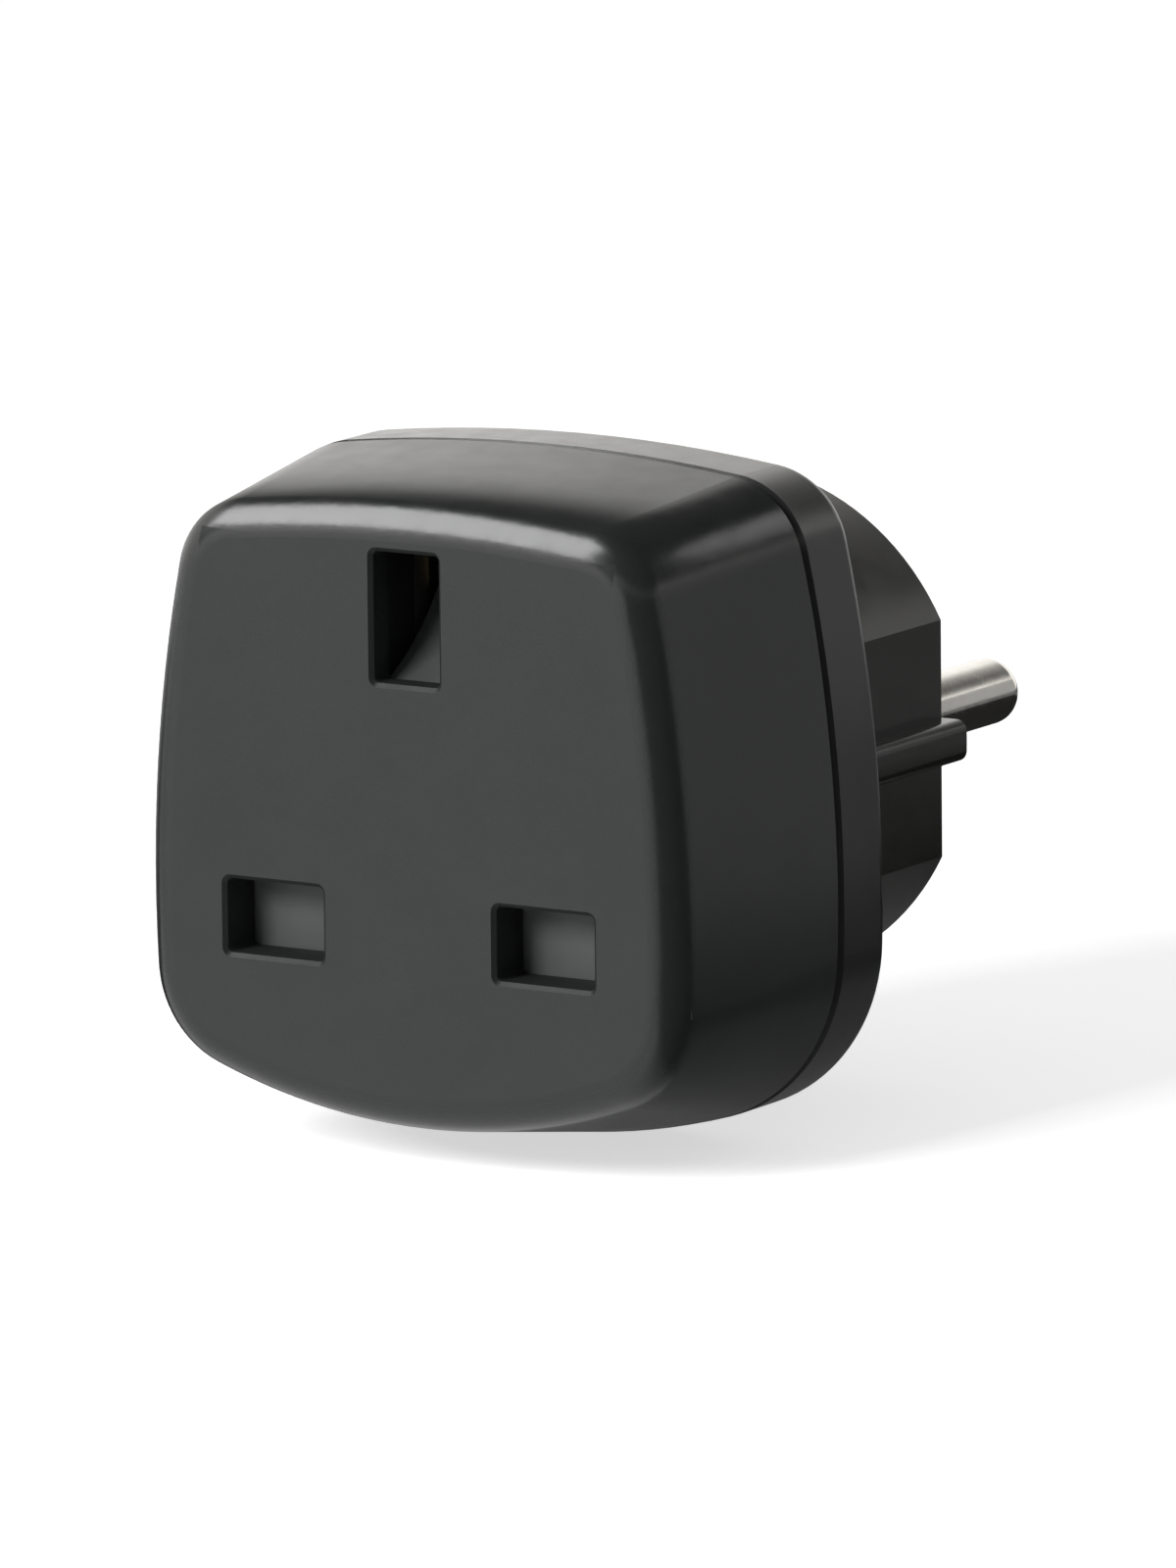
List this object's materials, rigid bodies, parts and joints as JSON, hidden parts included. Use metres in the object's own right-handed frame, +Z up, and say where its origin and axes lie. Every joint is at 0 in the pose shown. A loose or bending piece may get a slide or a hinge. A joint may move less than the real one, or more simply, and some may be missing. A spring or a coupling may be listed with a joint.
{
  "type": "travel adapter",
  "caption": "Black travel adapter: a shuttered British three-pin socket in front, and a round two-pin continental earthed plug with a female earth contact behind.",
  "frame": {"origin": "centre of the plug's engagement face, midway between its two round pins", "axes": "+Y along the round pins, out of the plug; -Y out of the socket face; +Z up, towards the earth slot; +X to the right as the socket face is seen"},
  "size_m": [0.0488, 0.0649, 0.049],
  "materials": {
    "housing_plastic": "fine spark-eroded texture, satin",
    "inner_plastic": "smooth moulded",
    "shutter_plastic": "smooth moulded",
    "contact_brass": "rolled sheet",
    "nickel_plate": "bright nickel over brass",
    "spring_steel": "drawn wire",
    "screw_steel": "zinc plated"
  },
  "bodies": {
    "root": {"front_cover": "housing_plastic", "rear_housing": "housing_plastic", "inner_frame": "inner_plastic", "pin_retainer": "inner_plastic", "shutter_spring": "spring_steel", "line_contact": "contact_brass", "neutral_contact": "contact_brass", "earth_contact": "contact_brass", "earth_strap": "nickel_plate", "earth_pin_socket": "nickel_plate", "line_pin": "nickel_plate", "neutral_pin": "nickel_plate", "housing_screw_1": "screw_steel", "housing_screw_2": "screw_steel", "housing_screw_3": "screw_steel", "housing_screw_4": "screw_steel", "retainer_screw_1": "screw_steel", "retainer_screw_2": "screw_steel"},
    "shutter": {"shutter": "shutter_plastic"}
  },
  "joints": [
    {"name": "shutter_slide", "type": "slide", "parent": "root", "child": "shutter", "axis": [0, 0, -1], "range_m": [0, 0.0055], "stiffness_N_per_m": 60, "springref_m": -0.004, "deforming": ["shutter_spring"]}
  ]
}
